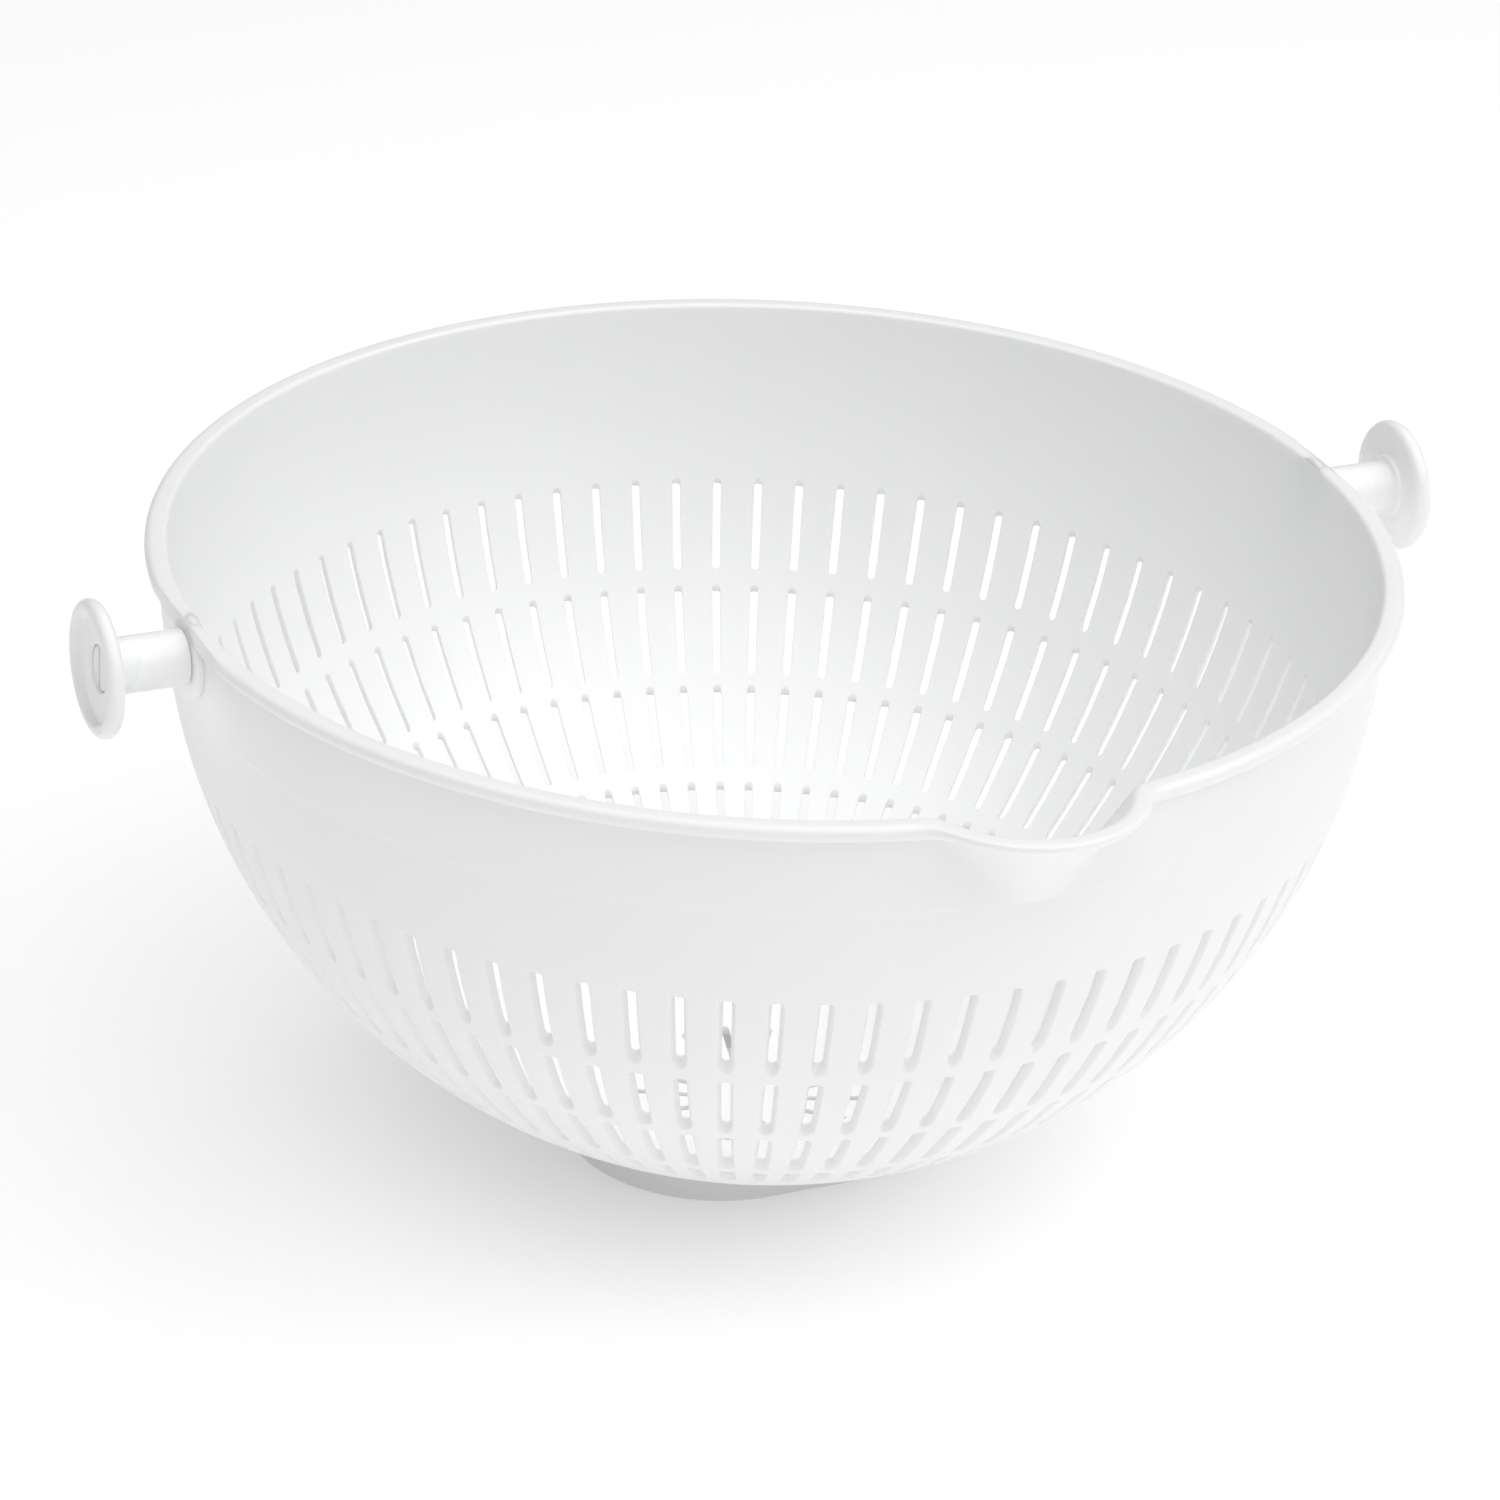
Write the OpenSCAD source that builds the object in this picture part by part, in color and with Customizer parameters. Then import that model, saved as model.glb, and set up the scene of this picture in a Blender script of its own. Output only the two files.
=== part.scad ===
// Strainer basket of a wash-and-drain set: a slotted round bowl with a pouring lip,
// and two flanged side knobs that turn on stub axles moulded with the basket.
// Origin at the centre of the foot, +Z up, X along the knob axis, lip towards -Y.

/* [Bowl] */
// Radius over the rim bead
rim_radius = 130; // [129:0.5:131]
// Height from the foot to the top of the rim
bowl_height = 139; // [138:0.5:140]
// Outer radius of the round bowl and of the straight band above it
bowl_radius = 126.2; // [125.8:0.1:126.6]
// Wall thickness
wall = 2.2; // [1.8:0.1:2.4]
// Height of the rolled bead round the rim
bead_height = 3.4; // [3:0.1:3.6]

/* [Foot] */
// Outer radius of the foot's round ends
foot_radius = 31.9; // [30:0.1:34]
// How far each round end's centre lies from the middle
foot_shift = 8.3; // [7:0.1:10]
// Thickness of the foot's wall
foot_wall = 2.5; // [2:0.1:3]

/* [Pouring lip] */
// Outer radius of the lip at the rim
lip_top_radius = 21.9; // [21.5:0.1:23]
// How far the lip stands out from the band
lip_reach = 13.9; // [13:0.1:14]
// How far down the bowl the lip runs
lip_depth = 20; // [20:0.5:21]

/* [Slots] */
// Slots in each ring
slots_round = 80; // [40:4:80]
// Slots in the ring under the bowl, inside the foot
slots_under = 16; // [8:4:16]
// Width of a slot inside the bowl
slot_width = 1.75; // [1.2:0.05:2]
// Width of a slot at its outer mouth
slot_mouth = 3; // [2:0.1:3.2]

/* [Knobs] */
// Height of the knob axis below the top of the rim
axis_drop = 7.9; // [7.5:0.1:8.5]
// Outer radius of the sleeve that a companion bowl's cradle holds
sleeve_radius = 5.8; // [5.6:0.1:6.5]
// Free length of the sleeve between the pad and the disc
sleeve_length = 16; // [14:0.5:20]
// Radius of the finger disc
disc_radius = 14.15; // [12.5:0.05:16]
// Thickness of the finger disc at its rim
disc_thick = 3.6; // [3.4:0.1:4.5]
// Depth of the dish in the disc's outer face
dish_depth = 1.6; // [1:0.1:1.6]
// Radius of the stub axle
axle_radius = 4; // [3.5:0.1:4]

/* [Hidden] */
$fn = 96;
plastic = "#f1f3f2";

// A little more than flush, so that cutters pass through a face
over = 0.6;

// Ball that the bowl is a part of
ball_drop = 8.3;
ball_z = bowl_height - ball_drop;
inner_radius = bowl_radius - wall;

// The foot rises to the middle of the ball's wall at its far ends
foot_reach = foot_radius + foot_shift;
foot_top = ball_z - sqrt(pow(bowl_radius, 2) - pow(foot_reach, 2)) + wall / 2;

// Each ring of slots, and the ring under the bowl: upper and lower edge, in degrees below the equator
SLOT_RINGS = [[15.6, 24.5], [26.9, 35.6], [37.5, 45.8], [48, 52.4]];
UNDER_RING = [78.5, 84];

// Pouring lip
lip_y = -(bowl_radius + lip_reach - lip_top_radius);
lip_sink = 0.3;
lip_foot_reach = sqrt(pow(bowl_radius, 2) - pow(lip_depth - ball_drop, 2)) - lip_sink;
lip_low_radius = lip_foot_reach + lip_y;
lip_slope = (lip_top_radius - lip_low_radius) / lip_depth;
bead_out = rim_radius - bowl_radius;
bead_bevel = 1;

// Flat pad and boss that each knob turns against
pad_x = 128.2;
pad_half = 24;
trim_length = 10;
trim_height = 20;
boss_radius = 7.5;
axis_z = bowl_height - axis_drop;

// Stub axle and its split snap head, inside the knob
pad_gap = 0.3;
fit_gap = 0.05;
head_grip = 0.7;
head_gap = 0.3;
head_band = 0.6;
head_nose = 0.5;
axle_split = 1.4;
split_depth = 9;
split_over = 5;

// Knob lengths, outwards from the sleeve's inner end
disc_back = sleeve_length;
disc_face = disc_back + disc_thick;
dish_floor = disc_face - dish_depth;
seat_step = 0.4;
seat_depth = disc_back + seat_step;
seat_radius = axle_radius + head_grip + head_gap;
dish_rim = 2.15;
dish_radius = disc_radius - dish_rim;
dish_slope = 1.1;
collar_radius = 7.2;
collar_length = 0.8;
head_start = seat_depth + head_gap + pad_gap;

// ---------------------------------------------------------------- bowl

// Section of the bead on a wall of the given outer radius, reaching in past the wall's inner face
module bead_section(radius) {
    low = bowl_height - bead_height;
    inner = radius - wall - over;
    outer = radius + bead_out;
    polygon([
        [inner, low],
        [outer - bead_bevel, low],
        [outer, low + bead_bevel],
        [outer, bowl_height - bead_bevel],
        [outer - bead_bevel, bowl_height],
        [inner, bowl_height]
    ]);
}

// Section of the whole bowl before it is hollowed
module bowl_section() {
    half_disc(bowl_radius);
    translate([0, ball_z])
        square([bowl_radius, ball_drop]);
    bead_section(bowl_radius);
}

// Section of the room inside the bowl
module room_section() {
    half_disc(inner_radius);
    translate([0, ball_z])
        square([inner_radius, ball_drop + over]);
}

// Lower half of the ball's section, on its outer side of the axis
module half_disc(radius) {
    intersection() {
        translate([0, ball_z])
            circle(r = radius);
        translate([0, ball_z - radius])
            square(radius);
    }
}

// Outline of the foot, or of the hollow in it, seen from above
module foot_plan(radius) {
    for (side = [-1, 1])
        translate([side * foot_shift, 0])
            circle(r = radius);
    translate([-foot_shift, -radius])
        square([2 * foot_shift, 2 * radius]);
}

module foot() {
    linear_extrude(height = foot_top)
        difference() {
            foot_plan(foot_radius);
            foot_plan(foot_radius - foot_wall);
        }
}

module lip_outside() {
    translate([0, lip_y, bowl_height - lip_depth])
        cylinder(h = lip_depth, r1 = lip_low_radius, r2 = lip_top_radius);
    translate([0, lip_y, 0])
        rotate_extrude()
            bead_section(lip_top_radius);
}

module lip_inside() {
    translate([0, lip_y, bowl_height - lip_depth])
        cylinder(
            h = lip_depth + over,
            r1 = lip_low_radius - wall,
            r2 = lip_top_radius - wall + over * lip_slope
        );
}

// Cutter for one slot: mouth at the origin, opening out towards +X, long way up Z
module slot_cutter(length) {
    flare = (slot_mouth - slot_width) / wall / 2;
    near = slot_width / 2 - over * flare;
    far = slot_mouth / 2 + over * flare;
    linear_extrude(height = length, center = true)
        polygon([
            [-wall - over, -near],
            [over, -far],
            [over, far],
            [-wall - over, near]
        ]);
}

// One ring of slots through the ball, between two angles below its equator
module slot_ring(count, first, angles) {
    length = 2 * bowl_radius * sin((angles[1] - angles[0]) / 2);
    for (i = [0:count - 1])
        translate([0, 0, ball_z])
            rotate([0, 0, first + i * 360 / count])
                rotate([0, (angles[0] + angles[1]) / 2, 0])
                    translate([bowl_radius, 0, 0])
                        slot_cutter(length);
}

// Everything beyond the flat pad on one side
module pad_trim() {
    translate([pad_x, -pad_half, axis_z - boss_radius - over])
        cube([trim_length, 2 * pad_half, trim_height]);
}

module boss() {
    translate([inner_radius - over, 0, axis_z])
        rotate([0, 90, 0])
            cylinder(h = pad_x - inner_radius + over, r = boss_radius);
}

// Stub axle with a split snap head, from the wall outwards along +X
module axle() {
    reach = pad_x + head_start;
    translate([0, 0, axis_z])
        difference() {
            rotate([0, 90, 0])
                union() {
                    translate([0, 0, bowl_radius - wall / 2])
                        cylinder(h = reach - bowl_radius + wall / 2, r = axle_radius);
                    translate([0, 0, reach])
                        cylinder(h = head_band, r = axle_radius + head_grip);
                    translate([0, 0, reach + head_band])
                        cylinder(h = head_nose, r1 = axle_radius + head_grip, r2 = axle_radius);
                }
            translate([reach - split_depth, -axle_split / 2, -2 * axle_radius])
                cube([split_depth + split_over, axle_split, 4 * axle_radius]);
        }
}

module basket() {
    color(plastic) {
        difference() {
            union() {
                rotate_extrude()
                    bowl_section();
                foot();
                lip_outside();
                boss();
                mirror([1, 0, 0])
                    boss();
            }
            rotate_extrude()
                room_section();
            lip_inside();
            pad_trim();
            mirror([1, 0, 0])
                pad_trim();
            for (angles = SLOT_RINGS)
                slot_ring(slots_round, -90, angles);
            slot_ring(slots_under, 180 / slots_under, UNDER_RING);
        }
        axle();
        mirror([1, 0, 0])
            axle();
    }
}

// ---------------------------------------------------------------- knobs

// Section of a knob: radius across, distance from the sleeve's inner end upwards
module knob_section() {
    edge = disc_thick / 2;
    bore = axle_radius + fit_gap;
    difference() {
        union() {
            square([sleeve_radius, disc_face - dish_depth / 2]);
            translate([0, disc_back - collar_length])
                square([collar_radius, collar_length + edge]);
            translate([0, disc_back])
                square([disc_radius - edge, disc_thick]);
            translate([disc_radius - edge, disc_back + edge])
                circle(r = edge);
        }
        translate([0, -over])
            square([bore, disc_face + 2 * over]);
        translate([0, seat_depth])
            square([seat_radius, disc_thick + over]);
        polygon([
            [0, dish_floor],
            [dish_radius - dish_slope, dish_floor],
            [dish_radius, disc_face],
            [dish_radius, disc_face + over],
            [0, disc_face + over]
        ]);
    }
}

module knob() {
    color(plastic)
        translate([pad_x + pad_gap, 0, axis_z])
            rotate([0, 90, 0])
                rotate_extrude()
                    knob_section();
}

module left_knob() {
    mirror([1, 0, 0])
        knob();
}

module right_knob() {
    knob();
}

basket();
left_knob();
right_knob();
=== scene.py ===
"""Looks of the strainer basket: one slotted white bowl and the two turning knobs at its sides."""

import math

import bmesh
import bpy
import numpy as np
from mathutils import Matrix, Vector


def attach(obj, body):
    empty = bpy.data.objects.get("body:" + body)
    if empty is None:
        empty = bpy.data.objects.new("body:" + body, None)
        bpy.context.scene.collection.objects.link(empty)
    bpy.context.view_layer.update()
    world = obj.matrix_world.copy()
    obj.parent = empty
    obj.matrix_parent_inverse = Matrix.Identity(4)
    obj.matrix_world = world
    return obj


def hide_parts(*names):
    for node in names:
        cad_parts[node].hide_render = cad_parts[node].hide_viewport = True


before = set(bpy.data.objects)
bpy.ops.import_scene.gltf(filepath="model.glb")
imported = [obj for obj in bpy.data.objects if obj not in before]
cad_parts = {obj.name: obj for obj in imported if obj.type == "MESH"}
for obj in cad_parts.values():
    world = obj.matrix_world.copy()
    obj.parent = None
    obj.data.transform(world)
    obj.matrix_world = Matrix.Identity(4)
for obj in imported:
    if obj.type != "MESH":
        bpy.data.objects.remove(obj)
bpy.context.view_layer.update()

# ------------------------------------------------------------------ sizes, in millimetres

MM = 0.001

# bowl: a ball-shaped wall under a short straight band
HEIGHT = 139.0
BALL_RADIUS = 126.2
BALL_DROP = 8.3
BALL_Z = HEIGHT - BALL_DROP
WALL = 2.2

# the wall flares out a little between the moulding line and the rim bead
FLARE = 1.3
FLARE_DROP = 22.0

# rim bead
BEAD_OUT = 2.5
BEAD_ROUND = 1.7
RIM_ROUND = 0.9

# pouring lip, a cone that leans out of the band
LIP_RADIUS = 21.9
LIP_CENTRE = BALL_RADIUS + 13.9 - LIP_RADIUS
LIP_SLOPE = 0.735
LIP_DEPTH = 20.0
LIP_FADE = 2.0
LIP_FILLET = 3.0

# the moulding line round the outside of the band
LINE_DROP = 20.5
LINE_STEP = 0.12

# slots: each ring's (upper, lower) edge, in degrees below the ball's equator, and the edges of
# the rows of cells that the slots sit in
SLOT_RINGS = ((15.6, 24.5), (26.9, 35.6), (37.5, 45.8), (48.0, 52.4))
RING_EDGES = (13.8, 25.7, 36.55, 46.9, 54.0)
SLOTS_ROUND = 80
UNDER_RING = (78.5, 84.0)
UNDER_EDGES = (76.5, 86.0)
SLOTS_UNDER = 16
SLOT_WIDTH = 1.75
SLOT_MOUTH = 3.1
# how far a slot's grooves run on, down the outside and up the inside
GROOVE_OUT = 2.0
GROOVE_IN = 1.4
UNDER_GROOVE = 0.3
CELL_MARGIN = 0.6
# corner radius at a slot's top, and the shape of the tail at its bottom
SLOT_CORNER = 0.85
TAIL_LENGTH = 0.8
TAIL_POWER = 1.15

# foot: a ring with two round ends, each centred a little way along X
FOOT_RADIUS = 31.9
FOOT_SHIFT = 8.3
FOOT_WALL = 2.5

# mesh density: columns across each slot cell, and rows along it
CELL_ACROSS = 6
SIDE_STRAIGHT = 6
COLUMNS = SLOTS_ROUND * CELL_ACROSS
FIRST_COLUMN = -90 - 180 / SLOTS_ROUND

# knobs and the pads that they turn against
AXIS_DROP = 7.9
AXIS_Z = HEIGHT - AXIS_DROP
PAD_X = 128.2
PAD_GAP = 0.3
KNOB_START = PAD_X + PAD_GAP
AXLE_RADIUS = 4.0
BORE_RADIUS = 4.05
SLEEVE_RADIUS = 5.8
SLEEVE_LENGTH = 16.0
DISC_RADIUS = 14.15
DISC_THICK = 3.6
SEAT_DEPTH = SLEEVE_LENGTH + 0.4
HEAD_START = KNOB_START + SEAT_DEPTH + 0.3
SPLIT_HALF = 0.45
DISH_DEPTH = 1.6
LATHE_STEPS = 144


# ------------------------------------------------------------------ mesh helpers


class Builder:
    """Collects vertex grids and their quads, and makes one welded mesh of them."""

    def __init__(self):
        self.points, self.faces, self.count = [], [], 0

    def add(self, points, faces):
        self.points.append(points.reshape(-1, 3))
        self.faces.extend((np.asarray(faces) + self.count).tolist())
        self.count += len(self.points[-1])

    def rings(self, loops):
        """Quads between successive closed loops, loops being (rows, columns, 3)."""
        rows, columns = loops.shape[:2]
        self.add(loops, ring_faces(rows, columns))

    def repeated(self, loops, count, first):
        """The same closed loops at count places round the Z axis, the first at that azimuth."""
        rows, columns = loops.shape[:2]
        base = ring_faces(rows, columns)
        flat = loops.reshape(-1, 3)
        turns = np.radians(first + np.arange(count) * 360 / count)
        cos, sin = np.cos(turns)[:, None], np.sin(turns)[:, None]
        x = flat[:, 0] * cos - flat[:, 1] * sin
        y = flat[:, 0] * sin + flat[:, 1] * cos
        z = np.broadcast_to(flat[:, 2], x.shape)
        faces = (base[None] + (np.arange(count) * len(flat))[:, None, None]).reshape(-1, 4)
        self.add(np.stack([x, y, z], axis=-1), faces)

    def cap(self, loop):
        """One flat face across a closed loop."""
        self.add(loop, [list(range(len(loop)))])

    def make(self, name):
        mesh = bpy.data.meshes.new(name)
        points = np.concatenate(self.points) * MM
        mesh.from_pydata(points.tolist(), [], self.faces)
        work = bmesh.new()
        work.from_mesh(mesh)
        bmesh.ops.remove_doubles(work, verts=work.verts, dist=2e-6)
        bmesh.ops.recalc_face_normals(work, faces=work.faces)
        work.to_mesh(mesh)
        work.free()
        mesh.shade_smooth()
        piece = bpy.data.objects.new(name, mesh)
        bpy.context.scene.collection.objects.link(piece)
        return piece


def ring_faces(rows, columns):
    row = np.arange(rows - 1)[:, None] * columns
    here = np.arange(columns)
    after = (here + 1) % columns
    quads = np.stack([row + here, row + after, row + columns + after, row + columns + here], axis=-1)
    return quads.reshape(-1, 4)


def arc(centre_x, centre_y, radius, start, end, steps):
    """Points (x, y) along an arc, from start to end in degrees, both included."""
    angles = np.radians(np.linspace(start, end, steps + 1))
    return [(centre_x + radius * math.cos(a), centre_y + radius * math.sin(a)) for a in angles]


def turned_z(profile):
    """Loops round the Z axis from (radius, z) points, on the bowl's own columns."""
    turns = np.radians(FIRST_COLUMN + np.arange(COLUMNS) * 360 / COLUMNS)
    profile = np.array(profile)
    x = profile[:, :1] * np.cos(turns)
    y = profile[:, :1] * np.sin(turns)
    z = np.broadcast_to(profile[:, 1:], x.shape)
    return np.stack([x, y, z], axis=-1)


def turned_x(profile, side):
    """Loops round the knob axis from (distance along the axis, radius) points."""
    turns = np.radians(np.arange(LATHE_STEPS) * 360 / LATHE_STEPS)
    profile = np.array(profile)
    x = np.broadcast_to(profile[:, :1] * side, (len(profile), LATHE_STEPS))
    y = profile[:, 1:] * np.cos(turns)
    z = AXIS_Z + profile[:, 1:] * np.sin(turns)
    return np.stack([x, y, z], axis=-1)


# ------------------------------------------------------------------ slots


def slot_outline(across, half_width, top, bottom, corner, tail):
    """One slot's outline as (x, y) points: rounded corners at its top, a tapering tail at its bottom.

    It starts at the middle of the top left corner and has the same points as cell_outline.
    """
    third = across // 3
    left = arc(-half_width + corner, top - corner, corner, 135, 90, third)
    right = arc(half_width - corner, top - corner, corner, 90, 45, third)
    flat = np.linspace(left[-1][0], right[0][0], third + 1)[1:-1]
    points = left + [(x, top) for x in flat] + right
    points += arc(half_width - corner, top - corner, corner, 45, 0, 2)[1:]
    low = bottom + tail
    side = np.linspace(top - corner, low, SIDE_STRAIGHT + 1)
    points += [(half_width, y) for y in side[1:]]
    angles = np.concatenate([[22.5], np.linspace(45, 135, across + 1), [157.5, 180]])
    for angle in np.radians(angles):
        swing = math.copysign(abs(math.cos(angle)) ** TAIL_POWER, math.cos(angle))
        points.append((half_width * swing, low - tail * math.sin(angle)))
    points += [(-half_width, y) for y in side[::-1][1:]]
    points += arc(-half_width + corner, top - corner, corner, 180, 135, 2)[1:-1]
    return np.array(points)


def cell_outline(across, half_angle, top, bottom):
    """The cell round a slot as (azimuth, y) points, in step with slot_outline's."""
    along = SIDE_STRAIGHT + 4
    turn = np.linspace(-half_angle, half_angle, across + 1)
    rise = np.linspace(top, bottom, along + 1)
    points = [(a, top) for a in turn]
    points += [(half_angle, y) for y in rise[1:]]
    points += [(a, bottom) for a in turn[::-1][1:]]
    points += [(-half_angle, y) for y in rise[::-1][1:-1]]
    return np.array(points)


def slot_cell(across, half_angle, place, edges, slot, grooves):
    """Loops from the cell's edge outside, through the slot, to the cell's edge inside.

    place turns (azimuth, y, depth) into a point; edges and slot are (top, bottom) in y.
    """
    groove_out, groove_in = grooves

    def outline(depth, grow, down, up):
        """The slot's outline at a depth, grown outwards, its ends moved down and up."""
        share = min(depth / (0.75 * WALL), 1)
        half = (SLOT_MOUTH + share * (SLOT_WIDTH - SLOT_MOUTH)) / 2 + grow
        top = slot[0] + grow + up
        bottom = slot[1] - grow - down
        corner = min(SLOT_CORNER + grow, half * 0.92)
        points = slot_outline(across, half, top, bottom, corner, half * TAIL_LENGTH + down)
        return place(points, depth)

    edge = cell_outline(across, half_angle, *edges)
    rim_out, rim_in = place(edge, 0, True), place(edge, WALL, True)
    mouth = outline(0, 0.34, groove_out, 0)
    throat = outline(WALL, 0.3, 0, groove_in)
    loops = [
        rim_out,
        blend(rim_out, mouth, 0.55, place, 0),
        mouth,
        outline(0, 0.24, groove_out, 0),
        outline(0.08, 0.08, groove_out * 0.96, 0),
        outline(0.26, 0, groove_out * 0.85, 0),
        outline(0.9, 0, groove_out * 0.4, 0),
        outline(1.5, 0, 0, groove_in * 0.3),
        outline(WALL - 0.16, 0, 0, groove_in * 0.85),
        outline(WALL - 0.05, 0.06, 0, groove_in * 0.95),
        outline(WALL, 0.18, 0, groove_in),
        throat,
        blend(rim_in, throat, 0.55, place, WALL),
        rim_in,
    ]
    return np.array([loop["xyz"] for loop in loops])


def blend(start, end, share, place, depth):
    """A loop on the same surface, part of the way between two others."""
    flat = start["flat"] * (1 - share) + end["flat"] * share
    return place(flat, depth, True)


def ball_place(middle):
    """Places points on the ball's wall, y being millimetres up the wall from the middle angle."""

    def place(points, depth, angular=False):
        drop = np.radians(middle) - points[:, 1] / BALL_RADIUS
        turn = points[:, 0] if angular else points[:, 0] / (BALL_RADIUS * np.cos(drop))
        radius = BALL_RADIUS - depth
        level = radius * np.cos(drop)
        xyz = np.stack(
            [level * np.cos(turn), level * np.sin(turn), BALL_Z - radius * np.sin(drop)], axis=-1
        )
        return {"xyz": xyz, "flat": np.stack([turn, points[:, 1]], axis=-1)}

    return place


def add_ring(builder, count, first, angles, limits, most):
    """One ring of slots between two angles, each in a cell that reaches to the limits."""
    across = COLUMNS // count
    middle = sum(angles) / 2
    degree = math.radians(BALL_RADIUS)
    edges = [(middle - angle) * degree for angle in limits]
    slot = [(middle - angle) * degree for angle in angles]
    grooves = (
        min(most[0], slot[1] - edges[1] - CELL_MARGIN),
        min(most[1], edges[0] - slot[0] - CELL_MARGIN),
    )
    cell = slot_cell(across, math.pi / count, ball_place(middle), edges, slot, grooves)
    builder.repeated(cell, count, first)


def add_slots(builder):
    for angles, high, low in zip(SLOT_RINGS, RING_EDGES, RING_EDGES[1:]):
        add_ring(builder, SLOTS_ROUND, -90, angles, (high, low), (GROOVE_OUT, GROOVE_IN))
    grooves = (UNDER_GROOVE, UNDER_GROOVE)
    add_ring(builder, SLOTS_UNDER, 180 / SLOTS_UNDER, UNDER_RING, UNDER_EDGES, grooves)


# ------------------------------------------------------------------ band, rim and lip


def plan_radius(turns, drop, stand_out):
    """Radius of the wall's plan at a drop below the rim, with the lip blended in.

    turns are azimuths from the lip's centre plane; stand_out is how far outside the outer face.
    """
    sag = max(drop - BALL_DROP, 0)
    band = math.sqrt((BALL_RADIUS + stand_out) ** 2 - sag**2)
    lip = LIP_RADIUS - LIP_SLOPE * min(drop, LIP_DEPTH) - LIP_FADE * max(drop - LIP_DEPTH, 0)
    lip += stand_out
    low, high = np.full(len(turns), band - 1), np.full(len(turns), band + 20)
    for _ in range(40):
        radius = (low + high) / 2
        to_band = radius - band
        to_lip = (
            np.hypot(radius * np.sin(turns), radius * np.cos(turns) - LIP_CENTRE) - lip
        )
        overlap = np.maximum(LIP_FILLET - np.abs(to_band - to_lip), 0)
        gap = np.minimum(to_band, to_lip) - overlap**2 / (4 * LIP_FILLET)
        low = np.where(gap < 0, radius, low)
        high = np.where(gap < 0, high, radius)
    return (low + high) / 2


def plan_rows(profile):
    """Loops of the wall from (stand_out, drop) points."""
    azimuth = np.radians(FIRST_COLUMN + np.arange(COLUMNS) * 360 / COLUMNS)
    turns = azimuth + math.pi / 2
    rows = []
    for stand_out, drop in profile:
        flare = FLARE * max(1 - drop / FLARE_DROP, 0) ** 1.5
        radius = plan_radius(turns, drop, stand_out + flare)
        x, y = radius * np.cos(azimuth), radius * np.sin(azimuth)
        x = np.clip(x, 0.05 - PAD_X, PAD_X - 0.05)
        rows.append(np.stack([x, y, np.full(COLUMNS, HEIGHT - drop)], axis=-1))
    return np.array(rows)


def add_band(builder):
    """The wall above the slots: up the outside, round the bead and down the inside."""
    first = math.sin(math.radians(RING_EDGES[0]))
    outside = [BALL_DROP + BALL_RADIUS * first, 36, 33, 30, 27, 24.5, 22.5, 21.2, LINE_DROP + 0.15]
    profile = [(0, drop) for drop in outside]
    band = [LINE_DROP - 0.15, 19.6, 18, 16.2, 14.4, 12.6, 10.8, 9.4, BALL_DROP, 7, 5.8, 4.6, 3.8]
    profile += [(LINE_STEP, drop) for drop in band]
    under = 2 * BEAD_ROUND
    profile += [(0.2, under + 0.12), (0.4, under + 0.02)]
    bead = arc(BEAD_OUT - BEAD_ROUND, BEAD_ROUND, BEAD_ROUND, 90, -90, 10)
    profile += bead
    profile += [(0, 0), (-WALL / 2, 0)]
    profile += arc(RIM_ROUND - WALL, RIM_ROUND, RIM_ROUND, -90, -180, 5)
    inside = [1.6, 2.8, 4.4, 6, 7.2, BALL_DROP, 9.6, 11.2, 12.8, 14.6, 16.4, 18.2, 20, 22, 24.5, 27]
    inside += [30, 33, 36]
    profile += [(-WALL, drop) for drop in inside]
    profile.append((-WALL, BALL_DROP + (BALL_RADIUS - WALL) * first))
    builder.rings(plan_rows(profile))


def ball_point(radius, angle):
    """(level radius, z) on a ball of the given radius, at an angle below its equator."""
    angle = math.radians(angle)
    return radius * math.cos(angle), BALL_Z - radius * math.sin(angle)


def add_bottom(builder):
    """The plain wall between the lowest slots and the ring underneath, and the middle."""
    for radius in (BALL_RADIUS, BALL_RADIUS - WALL):
        plain = np.linspace(RING_EDGES[-1], UNDER_EDGES[0], 13)
        builder.rings(turned_z([ball_point(radius, angle) for angle in plain]))
        middle = turned_z([ball_point(radius, angle) for angle in (UNDER_EDGES[1], 87, 88, 89, 89.6)])
        builder.rings(middle)
        builder.cap(middle[-1])


def foot_section():
    """The foot's closed outline as (distance outwards, level, hangs): hanging levels are from the ball."""
    fillet = [(1.7, 0.12, 1), (1.1, -0.12, 1), (0.6, -0.45, 1), (0.22, -1.0, 1), (0, -1.9, 1)]
    toe = [(0, 1.8, 0)] + [(x, z, 0) for x, z in arc(-0.8, 0.8, 0.8, 0, -90, 5)]
    toe += [(x, z, 0) for x, z in arc(0.6 - FOOT_WALL, 0.6, 0.6, -90, -180, 4)]
    inside = [(-FOOT_WALL, 1.6, 0), (-FOOT_WALL, -1.4, 1), (-FOOT_WALL - 0.2, -0.7, 1)]
    inside += [(-FOOT_WALL - 0.6, -0.25, 1), (-FOOT_WALL - 1.2, 0.12, 1)]
    top = [(-FOOT_WALL - 1.2, 0.9, 1), (1.7, 0.9, 1), (1.7, 0.12, 1)]
    return fillet + toe + inside + top


def add_foot(builder):
    """The foot, swept round its plan; its top is sunk in the ball's wall."""
    turns = np.radians(np.linspace(-90, 90, 73))
    out_x = np.concatenate([np.cos(turns), -np.cos(turns)])
    out_y = np.concatenate([np.sin(turns), -np.sin(turns)])
    shift = np.repeat([FOOT_SHIFT, -FOOT_SHIFT], len(turns))
    loops = []
    for outwards, level, hangs in foot_section():
        x = shift + (FOOT_RADIUS + outwards) * out_x
        y = (FOOT_RADIUS + outwards) * out_y
        under = BALL_Z - np.sqrt(BALL_RADIUS**2 - x**2 - y**2)
        loops.append(np.stack([x, y, hangs * under + level], axis=-1))
    builder.rings(np.array(loops))


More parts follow.
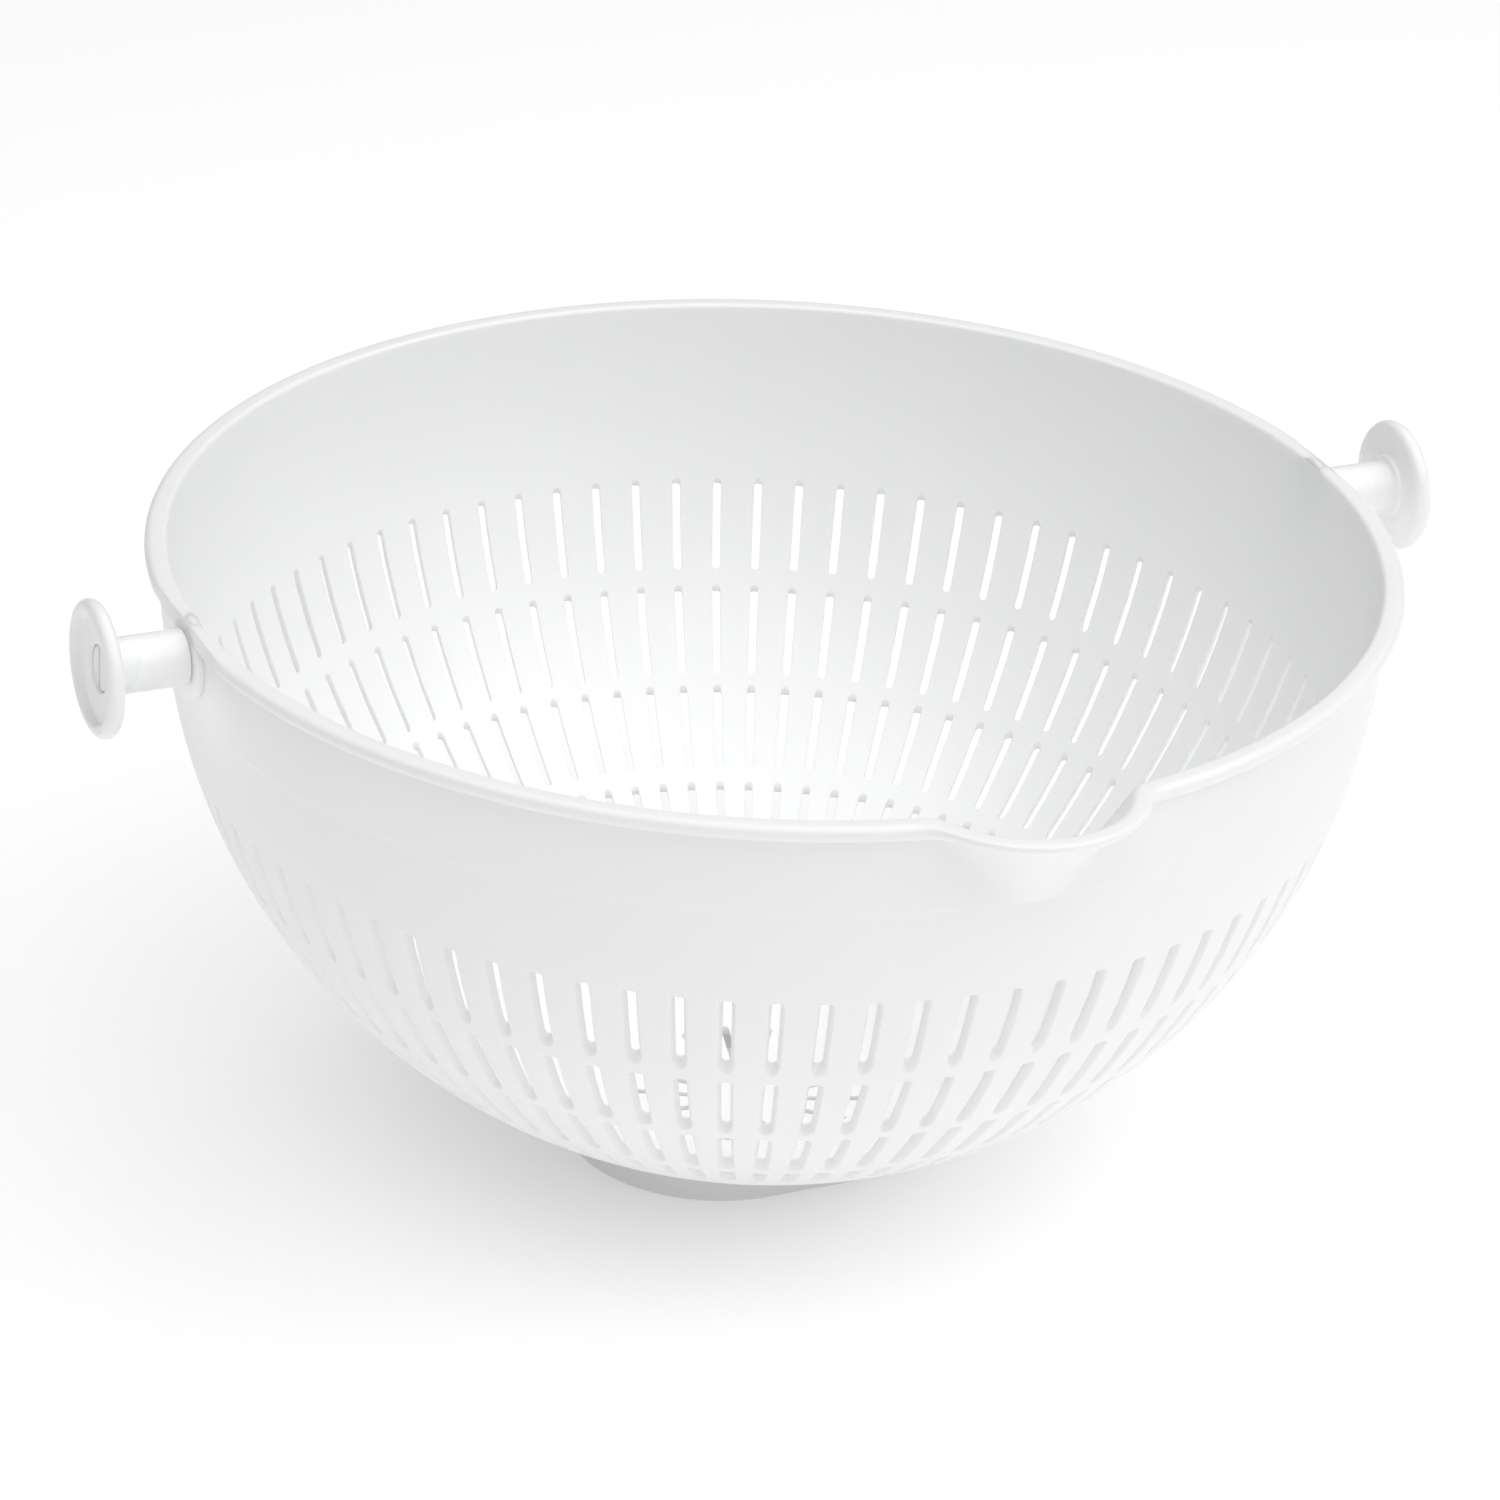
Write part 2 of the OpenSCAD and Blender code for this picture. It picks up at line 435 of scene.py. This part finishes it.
# ------------------------------------------------------------------ stub axles and knobs


def add_stub(builder, side):
    """The boss under the rim and the stub axle with its split snap head, on one side."""
    head = HEAD_START
    split_from = head - 0.4
    boss = [(PAD_X - 2.6, 0.01), (PAD_X - 2.6, 8.4), (PAD_X - 1.0, 8.2), (PAD_X - 0.5, 7.85)]
    boss += [(PAD_X - 0.12, 7.55), (PAD_X, 7.2), (PAD_X, 5.8), (PAD_X + 0.08, 5.4)]
    boss += [(PAD_X + 0.18, 5.3), (PAD_X + 0.24, 5.1), (PAD_X + 0.24, AXLE_RADIUS + 0.1)]
    boss += [(PAD_X + 0.4, AXLE_RADIUS), (split_from, AXLE_RADIUS)]
    boss += [(split_from, 0.01)]
    loops = turned_x(boss, side)
    builder.rings(loops)
    builder.cap(loops[0])
    builder.cap(loops[-1])
    prong = [(split_from - 0.3, AXLE_RADIUS - 0.02), (head - 0.2, AXLE_RADIUS), (head, 4.15)]
    prong += [(head, 4.5), (head + 0.08, 4.66), (head + 0.2, 4.7), (head + 0.34, 4.6)]
    prong += [(head + 0.5, 4.3), (head + 0.6, 4.0), (head + 0.62, 3.5)]
    for half in (1, -1):
        loops = prong_loops(prong, side, half)
        builder.rings(loops)
        builder.cap(loops[0])
        builder.cap(loops[-1])


def prong_loops(profile, side, half):
    """Loops of one half of the split axle, each an arc and the flat that faces the split."""
    loops = []
    for along, radius in profile:
        edge = math.asin(SPLIT_HALF / radius)
        turns = np.linspace(edge, math.pi - edge, 40)
        y = half * radius * np.sin(turns)
        z = AXIS_Z + radius * np.cos(turns)
        loops.append(np.stack([np.full(40, along * side), y, z], axis=-1))
    return np.array(loops)


def knob_profile():
    """The knob's outline as (distance along the axis, radius), closed on itself."""
    back, face = SLEEVE_LENGTH, SLEEVE_LENGTH + DISC_THICK
    edge = DISC_THICK / 2
    dish = face - DISH_DEPTH
    points = [(0.25, BORE_RADIUS), (0.07, BORE_RADIUS + 0.07), (0, BORE_RADIUS + 0.25)]
    points += arc(0.35, SLEEVE_RADIUS - 0.35, 0.35, 180, 90, 5)
    points += [(2, SLEEVE_RADIUS), (8, SLEEVE_RADIUS), (back - 1.7, SLEEVE_RADIUS)]
    points += [(back - 1.35, SLEEVE_RADIUS + 0.06), (back - 1.15, SLEEVE_RADIUS + 0.25)]
    points += [(back - 1.05, SLEEVE_RADIUS + 0.55), (back - 0.95, 6.9), (back - 0.75, 7.15)]
    points += [(back - 0.5, 7.22), (back - 0.2, 7.26), (back - 0.06, 7.4), (back, 7.7), (back, 9.5)]
    points += arc(back + edge, DISC_RADIUS - edge, edge, 180, 0, 18)
    points += [(face - 0.12, DISC_RADIUS - edge - 0.6), (face - 0.45, DISC_RADIUS - edge - 1.0)]
    points += [(face - 0.95, 10.95), (dish - 0.02 + 0.3, 10.5), (dish + 0.1, 9.9), (dish - 0.02, 9)]
    points += [(dish - 0.16, 7.4), (dish - 0.26, 6.2), (dish - 0.34, 5.5), (dish - 0.42, 5.2)]
    points += [(dish - 0.6, 4.92), (dish - 0.9, 4.88), (SEAT_DEPTH + 0.15, 4.88), (SEAT_DEPTH, 4.8)]
    points += [(SEAT_DEPTH, BORE_RADIUS + 0.2), (SEAT_DEPTH - 0.06, BORE_RADIUS + 0.06)]
    points += [(SEAT_DEPTH - 0.2, BORE_RADIUS), (8, BORE_RADIUS), (0.25, BORE_RADIUS)]
    return [(KNOB_START + along, radius) for along, radius in points]


# ------------------------------------------------------------------ materials


def plastic(name, tint, roughness, grain):
    """Translucent white moulded plastic: a satin skin with faint grain, flow and wear."""
    material = bpy.data.materials.new(name)
    material.use_nodes = True
    nodes, links = material.node_tree.nodes, material.node_tree.links
    shader = nodes["Principled BSDF"]
    where = nodes.new("ShaderNodeTexCoord")

    cloud = nodes.new("ShaderNodeTexNoise")
    cloud.inputs["Scale"].default_value = 14
    cloud.inputs["Detail"].default_value = 3
    links.new(where.outputs["Object"], cloud.inputs["Vector"])
    shade = nodes.new("ShaderNodeValToRGB")
    shade.color_ramp.elements[0].position = 0.3
    shade.color_ramp.elements[0].color = (*[c * 0.975 for c in tint], 1)
    shade.color_ramp.elements[1].position = 0.7
    shade.color_ramp.elements[1].color = (*tint, 1)
    links.new(cloud.outputs["Fac"], shade.inputs["Fac"])
    links.new(shade.outputs["Color"], shader.inputs["Base Color"])

    haze = nodes.new("ShaderNodeTexNoise")
    haze.inputs["Scale"].default_value = 45
    haze.inputs["Detail"].default_value = 4
    links.new(where.outputs["Object"], haze.inputs["Vector"])
    gloss = nodes.new("ShaderNodeMapRange")
    gloss.inputs["From Min"].default_value = 0.3
    gloss.inputs["From Max"].default_value = 0.7
    gloss.inputs["To Min"].default_value = roughness - 0.04
    gloss.inputs["To Max"].default_value = roughness + 0.05
    links.new(haze.outputs["Fac"], gloss.inputs["Value"])
    links.new(gloss.outputs["Result"], shader.inputs["Roughness"])

    skin = nodes.new("ShaderNodeTexNoise")
    skin.inputs["Scale"].default_value = grain
    skin.inputs["Detail"].default_value = 2
    links.new(where.outputs["Object"], skin.inputs["Vector"])
    bump = nodes.new("ShaderNodeBump")
    bump.inputs["Strength"].default_value = 0.12
    bump.inputs["Distance"].default_value = 0.00005
    links.new(skin.outputs["Fac"], bump.inputs["Height"])
    links.new(bump.outputs["Normal"], shader.inputs["Normal"])

    shader.inputs["IOR"].default_value = 1.49
    shader.inputs["Subsurface Weight"].default_value = 0.25
    shader.inputs["Subsurface Radius"].default_value = (1.0, 0.95, 0.9)
    shader.inputs["Subsurface Scale"].default_value = 0.0015
    return material


# ------------------------------------------------------------------ pieces


def make_basket():
    builder = Builder()
    add_band(builder)
    add_slots(builder)
    add_bottom(builder)
    add_foot(builder)
    for side in (1, -1):
        add_stub(builder, side)
    return builder.make("basket_shell")


def make_knob(name, side):
    builder = Builder()
    builder.rings(turned_x(knob_profile(), side))
    return builder.make(name)


def dress(piece, material, node):
    piece.data.materials.append(material)
    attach(piece, node)
    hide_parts(node)


WHITE = (0.935, 0.94, 0.942)
basket_skin = plastic("basket_skin", WHITE, 0.34, 900)
knob_skin = plastic("knob_skin", WHITE, 0.28, 1200)
dress(make_basket(), basket_skin, "basket")
dress(make_knob("left_knob_skin", -1), knob_skin, "left_knob")
dress(make_knob("right_knob_skin", 1), knob_skin, "right_knob")


# ------------------------------------------------------------------ studio


def make_floor():
    mesh = bpy.data.meshes.new("floor")
    reach = 12.0
    corners = [(-reach, -reach, 0), (reach, -reach, 0), (reach, reach, 0), (-reach, reach, 0)]
    mesh.from_pydata(corners, [], [(0, 1, 2, 3)])
    floor = bpy.data.objects.new("floor", mesh)
    bpy.context.scene.collection.objects.link(floor)
    material = bpy.data.materials.new("paper")
    material.use_nodes = True
    shader = material.node_tree.nodes["Principled BSDF"]
    shader.inputs["Base Color"].default_value = (0.93, 0.93, 0.93, 1)
    shader.inputs["Roughness"].default_value = 0.9
    shader.inputs["Specular IOR Level"].default_value = 0.1
    shader.inputs["Emission Color"].default_value = (1, 1, 1, 1)
    shader.inputs["Emission Strength"].default_value = 0.22
    mesh.materials.append(material)


def make_light(name, place, aim, size, power):
    light = bpy.data.lights.new(name, "AREA")
    light.shape = "RECTANGLE"
    light.size, light.size_y = size
    light.energy = power
    lamp = bpy.data.objects.new(name, light)
    lamp.location = place
    lamp.rotation_mode = "QUATERNION"
    lamp.rotation_quaternion = (Vector(aim) - Vector(place)).to_track_quat("-Z", "Y")
    bpy.context.scene.collection.objects.link(lamp)


def make_camera():
    azimuth, elevation, roll = math.radians(-24.6), math.radians(26.74), math.radians(2.9)
    distance = 1.232
    aim = Vector((-0.0035, 0, 0.0905))
    level = math.cos(elevation)
    back = Vector((math.sin(azimuth) * level, -math.cos(azimuth) * level, math.sin(elevation)))
    right = Vector((math.cos(azimuth), math.sin(azimuth), 0))
    up = back.cross(right)
    right, up = (
        right * math.cos(roll) + up * math.sin(roll),
        up * math.cos(roll) - right * math.sin(roll),
    )
    lens = bpy.data.cameras.new("camera")
    lens.lens = 140.8
    lens.sensor_width = 36
    camera = bpy.data.objects.new("camera", lens)
    camera.rotation_mode = "QUATERNION"
    camera.rotation_quaternion = Matrix((right, up, back)).transposed().to_quaternion()
    camera.location = aim + back * distance
    bpy.context.scene.collection.objects.link(camera)
    bpy.context.scene.camera = camera


make_camera()
make_floor()
make_light("overhead", (0.15, -0.35, 1.5), (0, 0, 0.05), (3.0, 2.8), 36)
make_light("right_fill", (1.5, -0.9, 0.8), (0, 0, 0.08), (1.2, 1.2), 2)

world = bpy.data.worlds.new("studio")
world.use_nodes = True
world.node_tree.nodes["Background"].inputs["Color"].default_value = (1, 1, 1, 1)
world.node_tree.nodes["Background"].inputs["Strength"].default_value = 0.24
bpy.context.scene.world = world
bpy.context.scene.view_settings.view_transform = "Standard"
